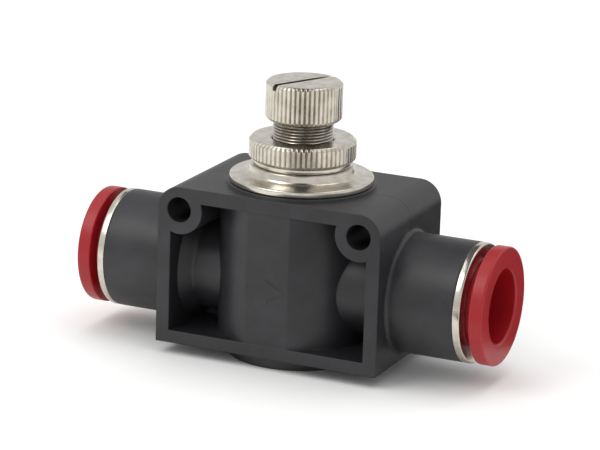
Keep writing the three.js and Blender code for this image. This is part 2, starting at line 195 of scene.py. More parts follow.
def grid_mesh(name, points, closed):
    """A mesh whose quads join points[i, j] to its neighbours; j goes round, i along the profile.

    A closed profile joins its last row to its first. An open one ends on the axis, where the
    row's points coincide and are merged to one.
    """
    rows, cols = points.shape[:2]
    i = np.arange(rows if closed else rows - 1)[:, None]
    j = np.arange(cols)[None, :]
    following, beside = (i + 1) % rows, (j + 1) % cols
    quads = np.stack(
        [i * cols + j, i * cols + beside, following * cols + beside, following * cols + j], -1
    )
    mesh = bpy.data.meshes.new(name)
    mesh.from_pydata(points.reshape(-1, 3).tolist(), [], quads.reshape(-1, 4).tolist())
    return outward(mesh)


def round_z(profile, segments=128, outline=None):
    """Points (r cos a, r sin a, axis + s) for each profile pair (r, s) and angle a.

    outline, when given, is the greatest radius at each angle, as a toothed bar has.
    """
    angle = np.linspace(0, TURN, segments, endpoint=False)[None, :]
    r = np.repeat(profile[:, :1], segments, 1)
    if outline is not None:
        r = np.minimum(r, outline(angle))
    height = np.broadcast_to(AXIS + profile[:, 1:], r.shape)
    return np.stack([r * np.cos(angle), r * np.sin(angle), height], -1)


def round_x(profile, side, segments=128):
    """Points (side s, r cos a, axis + r sin a): a profile turned about the ports' axis."""
    angle = np.linspace(0, TURN, segments, endpoint=False)[None, :]
    r = profile[:, :1]
    x = np.broadcast_to(side * profile[:, 1:], (len(profile), segments))
    return np.stack([x, r * np.cos(angle), AXIS + r * np.sin(angle)], -1)


CREST_SHARE = 0.5  # of a knurl's pitch that is flat crest


def toothed(radius, depth, teeth):
    """Greatest radius at angle a of a straight knurl: radius - depth g(u), where u runs 0 to 1
    over a tooth and g is 0 on the flat crest, about half the tooth, and 1 at the V's bottom."""

    def outline(angle):
        u = np.mod(angle * teeth / TURN, 1)
        across = np.abs(2 * u - 1)
        return radius - depth * np.clip((across - CREST_SHARE) / (1 - CREST_SHARE), 0, 1)

    return outline


def piece(name, mesh, material, body, *nodes, smooth=32, slot=None):
    """An object of that mesh, shaded smooth below the angle, riding on a body for its nodes."""
    obj = bpy.data.objects.new(name, mesh)
    bpy.context.scene.collection.objects.link(obj)
    mesh.materials.clear()
    mesh.materials.append(material)
    mesh.shade_smooth()
    mesh.set_sharp_from_angle(angle=math.radians(smooth))
    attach(obj, body)
    if nodes:
        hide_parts(*nodes)
    return obj


def combined(obj, meshes, operation):
    """Applies the boolean of the object with each mesh in turn, for good."""
    others = []
    for mesh in meshes:
        other = bpy.data.objects.new("tool", mesh)
        bpy.context.scene.collection.objects.link(other)
        others.append(other)
        modifier = obj.modifiers.new("tool", "BOOLEAN")
        modifier.object, modifier.operation, modifier.solver = other, operation, "MANIFOLD"
    bpy.context.view_layer.update()
    evaluated = obj.evaluated_get(bpy.context.evaluated_depsgraph_get())
    result = bpy.data.meshes.new_from_object(evaluated)
    obj.modifiers.clear()
    obj.data = result
    for other in others:
        bpy.data.objects.remove(other)
    return obj


def joined(obj, meshes):
    return combined(obj, meshes, "UNION")


def carved(obj, meshes):
    return combined(obj, meshes, "DIFFERENCE")


def block_mesh(low, high, turn):
    """A box from corner to corner, then turned by the matrix."""
    work = bmesh.new()
    bmesh.ops.create_cube(work, size=1)
    middle, span = (Vector(low) + Vector(high)) / 2, Vector(high) - Vector(low)
    work.transform(turn @ Matrix.Translation(middle) @ Matrix.Diagonal((*span, 1)))
    mesh = bpy.data.meshes.new("block")
    work.to_mesh(mesh)
    work.free()
    return mesh


# ---- the body's solids -------------------------------------------------------------------

HALF_WIDTH = 19.5  # of the frame, mm
SIDE_WALL, FLOOR_WALL, TOP_WALL, WEB = 2.25, 2.1, 2.35, 2.0  # mm
FRAME_BOTTOM = -11.0  # mm from the ports' axis, like every height here
CORNER = 3.75  # rounding of the frame's top corners, and how far in the screw holes stand, mm
BOSS_RADIUS, SCREW_HOLE_RADIUS = 4.05, 2.1  # mm
TOWER_RADIUS, FLAT_DEPTH = 13.05, 12.5  # mm
FOOT_RADIUS, LIP_RADIUS = 11.5, 12.2  # mm
LIP = 0.45  # ring under the bush's flange, height over the frame in mm


def prism_y(outline, near, far):
    """A bar along Y: the closed outline of [x, z] pairs, from the near to the far plane."""
    count = len(outline)
    ends = [np.insert(outline, 1, y, axis=1) + [0, 0, AXIS] for y in (near, far)]
    first = np.arange(count)
    second = (first + 1) % count
    sides = np.stack([first, second, second + count, first + count], 1).tolist()
    caps = [first[::-1].tolist(), (first + count).tolist()]
    mesh = bpy.data.meshes.new("prism")
    mesh.from_pydata(np.concatenate(ends).tolist(), [], sides + caps)
    return outward(mesh)


def rod_y(radius, x, z, near, far, segments=96):
    """A round bar along Y through the point (x, z)."""
    angle = np.linspace(0, TURN, segments, endpoint=False)
    outline = np.stack([x + radius * np.cos(angle), z + radius * np.sin(angle)], 1)
    return prism_y(outline, near, far)


def box_mesh(x, y, z):
    """A box from three pairs of limits in mm, its heights counted from the ports' axis."""
    low, high = (Vector((x[i], y[i], z[i])) * MM + Vector((0, 0, AXIS)) for i in (0, 1))
    return block_mesh(low, high, Matrix.Identity(4))


def framed_block(depth, top):
    """The block with rounded top corners, hollowed from both faces down to its middle web."""
    corner, half = CORNER * MM, HALF_WIDTH * MM
    angle = np.linspace(0, TURN / 4, 24)
    arc = np.stack([half - corner * (1 - np.cos(angle)), top - corner * (1 - np.sin(angle))], 1)
    bottom = [[-half, FRAME_BOTTOM * MM], [half, FRAME_BOTTOM * MM]]
    block = prism_y(np.concatenate([bottom, arc, (arc * [-1, 1])[::-1]]), -depth, depth)
    holder = bpy.data.objects.new("block", block)
    bpy.context.scene.collection.objects.link(holder)
    x = HALF_WIDTH - SIDE_WALL
    heights = (FRAME_BOTTOM + FLOOR_WALL, top / MM - TOP_WALL)
    reach = depth / MM + 1
    pockets = [box_mesh((-x, x), y, heights) for y in ((-reach, -WEB / 2), (WEB / 2, reach))]
    mesh = carved(holder, pockets).data
    bpy.data.objects.remove(holder)
    return mesh


def screw_places(top):
    """Where the two screw holes run: [x, z] at the centres of the rounded corners."""
    inset = HALF_WIDTH - CORNER
    return [(side * inset * MM, top - CORNER * MM) for side in (-1, 1)]


def screw_bosses(depth, top):
    """The screw bosses, kept inside the frame's own outline by flattening what would pass it."""
    made = []
    limit = (HALF_WIDTH - 0.02) * MM, top - 0.02 * MM
    for x, z in screw_places(top):
        angle = np.linspace(0, TURN, 96, endpoint=False)
        outline = np.stack([np.cos(angle), np.sin(angle)], 1)
        corner = (np.sign(x) * outline[:, 0] > 0) & (outline[:, 1] > 0)
        reach = np.where(corner, CORNER - 0.02, BOSS_RADIUS)
        points = outline * reach[:, None] * MM + [x, z]
        points[:, 0] = np.clip(points[:, 0], -limit[0], limit[0])
        points[:, 1] = np.minimum(points[:, 1], limit[1])
        made.append(prism_y(points, -depth, depth))
    return made


def screw_holes(depth, top):
    reach = depth + MM
    return [rod_y(SCREW_HOLE_RADIUS * MM, x, z, -reach, reach) for x, z in screw_places(top)]


def tower(top):
    """The upright barrel, its front and back planed to flats: y held within the flats' depth."""
    profile = rounded(
        [
            [0, FRAME_BOTTOM + 0.1, 0],
            [TOWER_RADIUS, FRAME_BOTTOM + 0.1, 0],
            [TOWER_RADIUS, top / MM - 0.1, 0],
            [0, top / MM - 0.1, 0],
        ]
    )
    points = round_z(profile, 240)
    flat = FLAT_DEPTH * MM
    points[..., 1] = np.clip(points[..., 1], -flat, flat)
    return grid_mesh("tower", points, closed=False)


def foot_and_lip(top):
    """The round foot that the valve stands on, and the low ring round the bush's seat."""
    low, inside = -AXIS / MM, FRAME_BOTTOM + 1
    foot = [[0, low, 0], [FOOT_RADIUS, low, 0.2], [FOOT_RADIUS, inside, 0], [0, inside, 0]]
    seat, rim = top / MM - 1, top / MM + LIP
    lip = [[0, seat, 0], [LIP_RADIUS, seat, 0], [LIP_RADIUS, rim, 0.12], [0, rim, 0]]
    return [grid_mesh("ring", round_z(rounded(p), 192), closed=False) for p in (foot, lip)]


def barrels():
    """The port barrels: slim beside the tower, flaring to full width at the frame's wall, and
    with a fillet where they leave it."""
    profile = rounded(
        [
            [0, 8, 0],
            [8, 8, 0],
            [8, 15.35, 0.3],
            [9.8, 17.15, 0],
            [9.8, 18, 0],
            [10.6, 18.8, 0],
            [10.6, HALF_WIDTH, 0],
            [9.8, HALF_WIDTH, 0.8],
            [9.8, 30.9, 0.2],
            [0, 30.9, 0],
        ],
        steps=10,
    )
    return [grid_mesh("barrel", round_x(profile, side, 192), closed=False) for side in (-1, 1)]


def bores(top):
    """What is bored out of the tower and of each port: chamber, sockets and passages."""
    chamber = rounded(
        [
            [0, -8.6, 0],
            [7.5, -8.6, 0],
            [7.5, 8.4, 0],
            [9.2, 8.4, 0],
            [9.2, top / MM + 1, 0],
            [0, top / MM + 1, 0],
        ]
    )
    socket = rounded(
        [
            [0, 14.5, 0],
            [6.05, 14.5, 0],
            [6.05, 20.5, 0],
            [8.2, 20.5, 0],
            [8.2, 24.8, 0],
            [8.6, 24.8, 0],
            [8.6, 32, 0],
            [0, 32, 0],
        ]
    )
    passage = rounded([[0, 5.5, 0], [3, 5.5, 0], [3, 15.5, 0], [0, 15.5, 0]])
    made = [grid_mesh("chamber", round_z(chamber, 128), closed=False)]
    for side, offset in ((-1, -3.8), (1, 3.8)):
        made.append(grid_mesh("socket", round_x(socket, side, 128), closed=False))
        way = round_x(passage, side, 64) + [0, 0, offset * MM]
        made.append(grid_mesh("passage", way, closed=False))
    return made


def flow_arrow():
    """The thin sunk lines of the arrow on the front flat, each from [x, z] to [x, z] in mm."""
    lines = (
        ((-4.2, 0.55), (-0.1, 0.55)),
        ((0.1, 2.1), (3.5, 0.25)),
        ((0.1, -1.6), (3.5, 0.25)),
    )
    wide, deep = 0.4 * MM, 0.06 * MM
    made = []
    for start, end in lines:
        start, end = Vector(start) * MM, Vector(end) * MM
        middle, along = (start + end) / 2, end - start
        turn = Matrix.Translation((middle.x, -FLAT_DEPTH * MM, AXIS + middle.y)) @ Matrix.Rotation(
            -math.atan2(along.y, along.x), 4, "Y"
        )
        half = along.length / 2
        made.append(block_mesh((-half, -deep, -wide / 2), (half, deep, wide / 2), turn))
    return made


THREAD_CREST, THREAD_BORE = 4.95, 5.04  # mm, of the spindle's thread and of what it runs in
THREAD_START = 17 * MM  # below this the thread is out of sight in the bush, and is left plain

# ---- materials --------------------------------------------------------------------------


def add(tree, kind, settings=None, **links):
    """Adds a node, sets its properties and plain inputs from settings, and links its inputs."""
    node = tree.nodes.new(kind)
    for key, value in (settings or {}).items():
        if hasattr(node, key):
            setattr(node, key, value)
        else:
            node.inputs[key].default_value = value
    for key, source in links.items():
        target = node.inputs[int(key[1:])] if key[0] == "_" else node.inputs[key]
        tree.links.new(target, source)
    return node


def per_metre(millimetres):
    """How many features of that size fit in a metre: the scale of a noise in object units."""
    return 1 / (millimetres * MM)


def new_material(name):
    material = bpy.data.materials.new(name)
    material.use_nodes = True
    material.node_tree.nodes.clear()
    return material, material.node_tree


def finish_material(tree, shader):
    add(tree, "ShaderNodeOutputMaterial", Surface=shader.outputs[0])


def two_tone(tree, factor, first, second):
    """The mix of two colours by a factor from 0 to 1."""
    mix = tree.nodes.new("ShaderNodeMix")
    mix.data_type = "RGBA"
    # a Mix node has one Factor, A and B for each of its types: index 6 and 7 are the colours
    mix.inputs[6].default_value = (*first, 1)
    mix.inputs[7].default_value = (*second, 1)
    tree.links.new(mix.inputs[0], factor)
    return mix.outputs[2]


RIDGE_HALF_WIDTH, RIDGE_HEIGHT = 0.16 * MM, 0.12 * MM  # parting line of the body's mould
LATHE_LINE = 0.15 * MM  # drawn spacing of the turning lines
WAVE_LENGTH = 0.314  # a Wave node of scale 1 repeats at about this length


def moulded_nylon(colours, sizes):
    """Glass-filled nylon 66, injection moulded in a spark-eroded tool: a dry charcoal grey with
    a fine even grain, slightly paler where fibre lies near the skin, and one thin parting line."""
    material, tree = new_material("moulded_glass_filled_nylon")
    place = add(tree, "ShaderNodeTexCoord").outputs["Object"]
    bloom = add(
        tree, "ShaderNodeTexNoise", {"Scale": per_metre(6), "Detail": 5.0, "Roughness": 0.6},
        Vector=place,
    )
    grain = add(
        tree, "ShaderNodeTexNoise", {"Scale": per_metre(0.28), "Detail": 3.0, "Roughness": 0.65},
        Vector=place,
    )
    patches = add(
        tree, "ShaderNodeMapRange", {"From Min": 0.42, "From Max": 0.72}, Value=bloom.outputs[0]
    )
    tint = two_tone(tree, patches.outputs[0], colours.nylon, colours.nylon_bloom)
    rough = add(
        tree, "ShaderNodeMapRange", {"To Min": 0.36, "To Max": 0.5}, Value=grain.outputs[0]
    )
    # the tool halves meet on y = 0: a ridge drawn 0.3 mm wide so that it shows
    across = add(tree, "ShaderNodeSeparateXYZ", Vector=place).outputs["Y"]
    offset = add(tree, "ShaderNodeMath", {"operation": "ABSOLUTE"}, _0=across).outputs[0]
    ridge = add(
        tree,
        "ShaderNodeMapRange",
        {"From Min": 0.0, "From Max": RIDGE_HALF_WIDTH, "To Min": 1.0, "To Max": 0.0},
        Value=offset,
    )
    soft = add(tree, "ShaderNodeBevel", {"samples": 6, "Radius": sizes.mould_radius})
    ridge_bump = add(
        tree,
        "ShaderNodeBump",
        {"Strength": 1.0, "Distance": RIDGE_HEIGHT},
        Height=ridge.outputs[0],
        Normal=soft.outputs[0],
    )
    bump = add(
        tree,
        "ShaderNodeBump",
        {"Strength": 0.35, "Distance": 0.03 * MM},
        Height=grain.outputs[0],
        Normal=ridge_bump.outputs[0],
    )
    shader = add(
        tree,
        "ShaderNodeBsdfPrincipled",
        {"IOR": 1.53, "Specular IOR Level": 0.5},
        Normal=bump.outputs[0],
        Roughness=rough.outputs[0],
        **{"Base Color": tint},
    )
    finish_material(tree, shader)
    return material


def nickel_plate(colours, name, rings, root=None):
    """Bright nickel plate over turned brass: warm grey mirror, hazed by the turning lines that
    the plate follows, here drawn as rings 0.15 mm apart so that they show.

    root, when given, is the radius of a thread's root in metres; the colour darkens towards it as
    painted shade in the grooves.
    """
    material, tree = new_material(name)
    place = add(tree, "ShaderNodeTexCoord").outputs["Object"]
    haze = add(
        tree, "ShaderNodeTexNoise", {"Scale": per_metre(1.8), "Detail": 4.0}, Vector=place
    )
    patches = add(
        tree, "ShaderNodeMapRange", {"From Min": 0.4, "From Max": 0.65}, Value=haze.outputs[0]
    )
    tint = two_tone(tree, patches.outputs[0], colours.nickel, colours.nickel_dull)
    # painted shade in the thread's grooves: the colour darkens from the crest radius down to the
    # root radius
    if root:
        parts = add(tree, "ShaderNodeSeparateXYZ", Vector=place)
        flat = add(tree, "ShaderNodeCombineXYZ", X=parts.outputs["X"], Y=parts.outputs["Y"])
        radius = add(tree, "ShaderNodeVectorMath", {"operation": "LENGTH"}, _0=flat.outputs[0])
        height = add(
            tree,
            "ShaderNodeMapRange",
            {"From Min": root, "From Max": THREAD_CREST * MM},
            Value=radius.outputs["Value"],
        )
        tint = two_tone(tree, height.outputs[0], colours.thread_root_painted_shade, colours.nickel)
    rough = add(
        tree, "ShaderNodeMapRange", {"To Min": 0.14, "To Max": 0.28}, Value=haze.outputs[0]
    )
    lines = add(
        tree,
        "ShaderNodeTexWave",
        {
            "wave_type": "RINGS",
            "rings_direction": rings,
            "Scale": WAVE_LENGTH / LATHE_LINE,
            "Distortion": 1.5,
            "Detail": 2.0,
        },
        Vector=place,
    )
    bump = add(
        tree,
        "ShaderNodeBump",
        {"Strength": 0.25, "Distance": 0.01 * MM},
        Height=lines.outputs["Fac"],
    )
    shader = add(
        tree,
        "ShaderNodeBsdfPrincipled",
        {"Metallic": 1.0},
        Normal=bump.outputs[0],
        Roughness=rough.outputs[0],
        **{"Base Color": tint},
    )
    finish_material(tree, shader)
    return material


def red_acetal(colours):
    """Acetal copolymer moulded in a polished tool: a dense red, waxy satin, faintly translucent."""
    material, tree = new_material("moulded_red_acetal")
    place = add(tree, "ShaderNodeTexCoord").outputs["Object"]
    swirl = add(
        tree, "ShaderNodeTexNoise", {"Scale": per_metre(5), "Detail": 3.0, "Distortion": 1.2},
        Vector=place,
    )
    skin = add(
        tree, "ShaderNodeTexNoise", {"Scale": per_metre(0.5), "Detail": 3.0}, Vector=place
    )
    tint = two_tone(tree, swirl.outputs[0], colours.acetal, colours.acetal_deep)
    rough = add(
        tree, "ShaderNodeMapRange", {"To Min": 0.3, "To Max": 0.44}, Value=skin.outputs[0]
    )
    bump = add(
        tree,
        "ShaderNodeBump",
        {"Strength": 0.15, "Distance": 0.02 * MM},
        Height=skin.outputs[0],
    )
    shader = add(
        tree,
        "ShaderNodeBsdfPrincipled",
        {
            "IOR": 1.48,
            "Subsurface Weight": 0.3,
            "Subsurface Radius": (1.0, 0.25, 0.2),
            "Subsurface Scale": 1.2 * MM,
        },
        Normal=bump.outputs[0],
        Roughness=rough.outputs[0],
        **{"Base Color": tint},
    )
    finish_material(tree, shader)
    return material


def plain_finish(name, tone, low, high, grain, depth, **shader_values):
    """A one-colour finish: its roughness runs low to high over a grain of that size in mm, with
    a bump of that depth in mm."""
    material, tree = new_material(name)
    place = add(tree, "ShaderNodeTexCoord").outputs["Object"]
    noise = add(
        tree, "ShaderNodeTexNoise", {"Scale": per_metre(grain), "Detail": 3.0}, Vector=place
    )
    rough = add(tree, "ShaderNodeMapRange", {"To Min": low, "To Max": high}, Value=noise.outputs[0])
    bump = add(
        tree, "ShaderNodeBump", {"Strength": 0.3, "Distance": depth * MM}, Height=noise.outputs[0]
    )
    shader = add(
        tree,
        "ShaderNodeBsdfPrincipled",
        {"Base Color": (*tone, 1), **shader_values},
        Normal=bump.outputs[0],
        Roughness=rough.outputs[0],
    )
    finish_material(tree, shader)
    return material


def nitrile_rubber(colours):
    """Nitrile rubber, compression moulded: near black and dull."""
    return plain_finish(
        "moulded_nitrile_rubber", colours.rubber, 0.55, 0.75, 0.4, 0.02, IOR=1.52
    )


# ---- operators --------------------------------------------------------------------------


class FLOWVALVE_OT_body(bpy.types.Operator):
    """Shape the moulded body: a hollowed block, a vertical tower and the two port barrels"""

    bl_idname = "flow_valve.body"
    bl_label = "Moulded body"

    def execute(self, context):
        scene = context.scene
        material = moulded_nylon(scene.flow_valve_colours, scene.flow_valve_sizes)
        depth, top = -FRONT, size_of("valve_body")[3] - AXIS - LIP * MM
        body = piece(
            "body_moulding",
            framed_block(depth, top),
            material,
            "housing",
            "valve_body",
            slot="nylon_black",
        )
        joined(body, [*screw_bosses(depth, top), tower(top), *foot_and_lip(top), *barrels()])
        carved(body, [*bores(top), *screw_holes(depth, top), *flow_arrow()])
        body.data.set_sharp_from_angle(angle=math.radians(12))
        return {"FINISHED"}


class FLOWVALVE_OT_bush(bpy.types.Operator):
    """Turn the flanged bonnet bush with its filleted neck"""

    bl_idname = "flow_valve.bush"
    bl_label = "Bonnet bush"

    def execute(self, context):
        colours = context.scene.flow_valve_colours
        flange = size_of("bonnet_bush")[0] / MM
        profile = rounded(
            [
                [THREAD_BORE, 12.5, 0],
                [5.9, 12.5, 0.1],
                [5.9, 4.6, 0.2],
                [6.8, 4.6, 0.2],
                [6.8, 8.45, 0],
                [9.1, 8.45, 0.2],
                [9.1, 11.5, 0.1],
                [7.9, 11.5, 0],
                [7.9, 12.8, 0],
                [9.1, 12.8, 0.1],
                [9.1, 15.9, 0],
                [flange, 15.9, 0.25],
                [flange, 17.03, 0.4],
                [10.95, 17.03, 0.3],
                [8.75, 17.3, 0.65],
                [8.5, 18.75, 0.25],
                [5.34, 18.75, 0.1],
                [THREAD_BORE, 18.45, 0],
            ],
            steps=7,
        )
        mesh = grid_mesh("bush_turning", round_z(profile, 160), closed=True)
        material = nickel_plate(colours, "nickel_plated_turned_brass", "Z")
        piece("bush_turning", mesh, material, "housing", "bonnet_bush", slot="nickel_plate")
        return {"FINISHED"}


class FLOWVALVE_OT_spindle(bpy.types.Operator):
    """Turn the needle spindle and cut its helical thread"""

    bl_idname = "flow_valve.spindle"
    bl_label = "Needle spindle"

    def execute(self, context):
        sizes, colours = context.scene.flow_valve_sizes, context.scene.flow_valve_colours
        low, high = (z - AXIS for z in size_of("needle_spindle")[2:])
        crest = THREAD_CREST
        profile = rounded(
            [
                [0, low / MM, 0],
                [1.2, low / MM, 0.2],
                [2.95, 2.25, 0.2],
                [2.95, 4.7, 0],
                [5.81, 5.3, 0.1],
                [5.81, 6.3, 0.1],
                [4.3, 6.3, 0],
                [4.3, 7.9, 0],
                [5.81, 7.9, 0.1],
                [5.81, 9.3, 0.1],
                [crest, 9.3, 0],
                [crest, 26.1, 0.2],
                [3, 26.1, 0],
                [3, high / MM, 0.3],
                [0, high / MM, 0],
            ]
        )
        steps_per_pitch = 8
        profile = densified(profile, sizes.thread_pitch / steps_per_pitch)
        segments = 96
        points = round_z(profile, segments)
        # thread: crest radius less depth times a triangle wave of height / pitch - share of a turn
        angle = np.linspace(0, 1, segments, endpoint=False)[None, :]
        height = profile[:, 1:]
        wave = np.abs(2 * np.mod(height / sizes.thread_pitch - angle, 1) - 1)
        on_crest = np.abs(profile[:, :1] - crest * MM) < 0.01 * MM
        threaded = on_crest & (height > THREAD_START)
        shrink = 1 - np.where(threaded, sizes.thread_depth * wave / (crest * MM), 0)
        points[..., :2] *= shrink[..., None]
        mesh = grid_mesh("spindle_turning", points, closed=False)
        root = crest * MM - sizes.thread_depth
        # this finish paints shade into the thread's grooves, darker towards the root radius
        material = nickel_plate(colours, "nickel_plated_thread_painted_root_shade", "Z", root)
        piece(
            "spindle_turning", mesh, material, "spindle", "needle_spindle", smooth=50,
            slot="nickel_plate",
        )
        return {"FINISHED"}


class FLOWVALVE_OT_lock_nut(bpy.types.Operator):
    """Turn and knurl the lock nut, and turn the washer under it"""

    bl_idname = "flow_valve.lock_nut"
    bl_label = "Lock nut and washer"

    def execute(self, context):
        sizes, colours = context.scene.flow_valve_sizes, context.scene.flow_valve_colours
        radius, _, low, high = size_of("lock_nut")
        outer, bottom, top = radius / MM, (low - AXIS) / MM, (high - AXIS) / MM
        chamfer = 0.5
        profile = rounded(
            [
                [THREAD_BORE, bottom + 0.3, 0],
                [5.34, bottom, 0],
                [outer - chamfer, bottom, 0.08],
                [outer, bottom + chamfer, 0.08],
                [outer, top - chamfer, 0.08],
                [outer - chamfer, top, 0.08],
                [5.44, top, 0.05],
                [THREAD_BORE, top - 0.4, 0],
            ]
        )
        profile = densified(np.vstack([profile, profile[:1]]), 0.25 * MM)[:-1]
        outline = toothed(radius, sizes.tooth_depth, sizes.nut_teeth)
        points = round_z(profile, sizes.nut_teeth * 12, outline)
        material = nickel_plate(colours, "nickel_plated_knurled_nut", "Z")
        mesh = grid_mesh("nut_turning", points, closed=True)
        piece("nut_turning", mesh, material, "nut", "lock_nut", smooth=40, slot="nickel_plate")

        rim, _, low, high = size_of("nut_washer")
        low, high = (low - AXIS) / MM, (high - AXIS) / MM
        rim = rim / MM
        ring = rounded(
            [[5.25, low, 0.1], [rim, low, 0.15], [rim, high, 0.15], [5.25, high, 0.1]]
        )
        mesh = grid_mesh("washer_turning", round_z(ring), closed=True)
        piece("washer_turning", mesh, material, "nut_lift", "nut_washer", slot="nickel_plate")
        return {"FINISHED"}


class FLOWVALVE_OT_knob(bpy.types.Operator):
    """Turn and knurl the knob, and saw its screwdriver slot"""

    bl_idname = "flow_valve.knob"
    bl_label = "Regulating knob"

    def execute(self, context):
        sizes, colours = context.scene.flow_valve_sizes, context.scene.flow_valve_colours
        radius, _, low, high = size_of("regulating_knob")
        outer, bottom, top = radius / MM, (low - AXIS) / MM, (high - AXIS) / MM
        profile = rounded(
            [
                [0, 30.25, 0],
                [3.03, 30.25, 0],
                [3.03, bottom, 0.1],
                [outer - 0.5, bottom, 0.1],
                [outer, bottom + 0.5, 0.1],
                [outer, top - 0.4, 0.1],
                [outer - 0.4, top, 0.15],
                [0, top, 0],
            ]
        )
        profile = densified(profile, 0.3 * MM)
        outline = toothed(radius, sizes.tooth_depth, sizes.knob_teeth)
        points = round_z(profile, sizes.knob_teeth * 12, outline)
        mesh = grid_mesh("knob_turning", points, closed=False)
        material = nickel_plate(colours, "nickel_plated_knurled_knob", "Z")
        knob = piece(
            "knob_turning", mesh, material, "spindle", "regulating_knob", slot="nickel_plate"
        )
        half = sizes.slot_width / 2
        turn = Matrix.Rotation(sizes.slot_angle, 4, "Z")
        reach = 2 * radius
        slot = block_mesh(
            (-reach, -half, high - sizes.slot_depth), (reach, half, high + reach), turn
        )
        carved(knob, [slot])
        knob.data.set_sharp_from_angle(angle=math.radians(40))
        return {"FINISHED"}


class FLOWVALVE_OT_port_rings(bpy.types.Operator):
    """Turn the collar ring that is pressed into each port"""

    bl_idname = "flow_valve.port_rings"
    bl_label = "Port rings"

    def execute(self, context):
        colours = context.scene.flow_valve_colours
        material = nickel_plate(colours, "nickel_plated_port_ring", "X")
        for name, side in (("left", -1), ("right", 1)):
            node = f"{name}_port_ring"
            rim = size_of(node)[1] / MM
            face = max(abs(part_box(node)[0].x), abs(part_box(node)[1].x)) / MM
            profile = rounded(
                [
                    [7.3, 28.7, 0],
                    [7.75, 28.7, 0],
                    [7.75, 25.4, 0.1],
                    [8.5, 25.4, 0.15],
                    [8.5, 30.95, 0],
                    [rim, 30.95, 0.08],
                    [rim, face, 0.35],
                    [7.3, face, 0.1],
                ]
            )
            mesh = grid_mesh(f"{name}_collar", round_x(profile, side, 160), closed=True)
            piece(f"{name}_collar", mesh, material, "housing", node, slot="nickel_plate")
        return {"FINISHED"}


class FLOWVALVE_OT_collets(bpy.types.Operator):
    """Shape the two red release collets, with their rounded flanges and sprung fingers"""

    bl_idname = "flow_valve.collets"
    bl_label = "Release collets"

    def execute(self, context):
        material = red_acetal(context.scene.flow_valve_colours)
        ports = (("left", -1, "inlet_collet"), ("right", 1, "outlet_collet"))
        for name, side, body in ports:
            node = f"{name}_release_collet"
            low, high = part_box(node)
            rim = size_of(node)[1] / MM
            face = max(abs(low.x), abs(high.x)) / MM
            profile = rounded(
                [
                    [6.1, 26.6, 0.2],
                    [7.1, 26.6, 0.2],
                    [7.1, 27.8, 0.1],
                    [7.6, 28.2, 0.1],
                    [7.6, 28.6, 0.1],
                    [7.1, 28.6, 0],
                    [7.1, face - 2.27, 0.15],
                    [rim, face - 2.27, 0.25],
                    [rim, face, 0.35],
                    [6.4, face, 0.12],
                    [6.1, face - 0.3, 0.12],
                ],
                steps=8,
            )
            profile = densified(np.vstack([profile, profile[:1]]), 1.2 * MM)[:-1]
            mesh = grid_mesh(f"{name}_collet", round_x(profile, side, 160), closed=True)
            collet = piece(f"{name}_collet", mesh, material, body, node, slot="red_acetal")
            half, reach = 0.5 * MM, 9 * MM
            ends = sorted((side * 25 * MM, side * 30 * MM))
            centre = Matrix.Translation((0, 0, AXIS))
            slits = [
                block_mesh(
                    (ends[0], -half, -reach),
                    (ends[1], half, reach),
                    centre @ Matrix.Rotation(math.radians(turn), 4, "X"),
                )
                for turn in (45, 135)
            ]
            carved(collet, slits)
            collet.data.set_sharp_from_angle(angle=math.radians(40))
        return {"FINISHED"}


class FLOWVALVE_OT_seals(bpy.types.Operator):
    """Mould the round rubber seals and finish the one-way lip seal"""

    bl_idname = "flow_valve.seals"
    bl_label = "Seals"

    def execute(self, context):
        rubber = nitrile_rubber(context.scene.flow_valve_colours)
        angle = np.linspace(0, TURN, 20, endpoint=False)
        for node, body, side in (
            ("left_tube_seal", "housing", -1),
            ("right_tube_seal", "housing", 1),
            ("bush_o_ring", "housing", 0),
            ("spindle_o_ring", "spindle_lift", 0),
        ):
            low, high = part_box(node)
            thick = (high.x - low.x) if side else (high.z - low.z)
            centre = (abs(high.x + low.x) / 2) if side else (high.z + low.z) / 2 - AXIS
            ring = (high.y - low.y) / 2 - thick / 2
            profile = np.stack(
                [ring + thick / 2 * np.cos(angle), centre + thick / 2 * np.sin(angle)], 1
            )
            points = round_x(profile, side, 96) if side else round_z(profile, 96)
            mesh = grid_mesh(f"{node}_moulding", points, closed=True)
            piece(f"{node}_moulding", mesh, rubber, body, node, slot="seal_rubber")
        paint("check_lip_seal", rubber)
        return {"FINISHED"}


def paint(node, material):
    """Gives a CAD node that material in place of its own."""
    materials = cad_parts[node].data.materials
    materials.clear()
    materials.append(material)


class FLOWVALVE_OT_inner_pieces(bpy.types.Operator):
    """Finish the grip rings, support rings and seat sleeve, which show down the ports"""

    bl_idname = "flow_valve.inner_pieces"
    bl_label = "Inner pieces"

    def execute(self, context):
        colours = context.scene.flow_valve_colours
        # stamped spring stainless: bright grey with a fine rolled grain
        steel = plain_finish(
            "stamped_spring_stainless", colours.stainless, 0.25, 0.4, 0.3, 0.005, Metallic=1.0
        )
        # natural acetal: waxy white
        acetal = plain_finish(
            "moulded_white_acetal", colours.white_acetal, 0.35, 0.5, 0.5, 0.01, IOR=1.48
        )
        # bare turned brass: warm yellow, fine tool marks
        brass = plain_finish(
            "turned_brass", colours.brass, 0.25, 0.38, 0.2, 0.005, Metallic=1.0
        )
        for side in ("left", "right"):
            paint(f"{side}_grip_ring", steel)
            paint(f"{side}_support_ring", acetal)
        paint("seat_sleeve", brass)
        return {"FINISHED"}


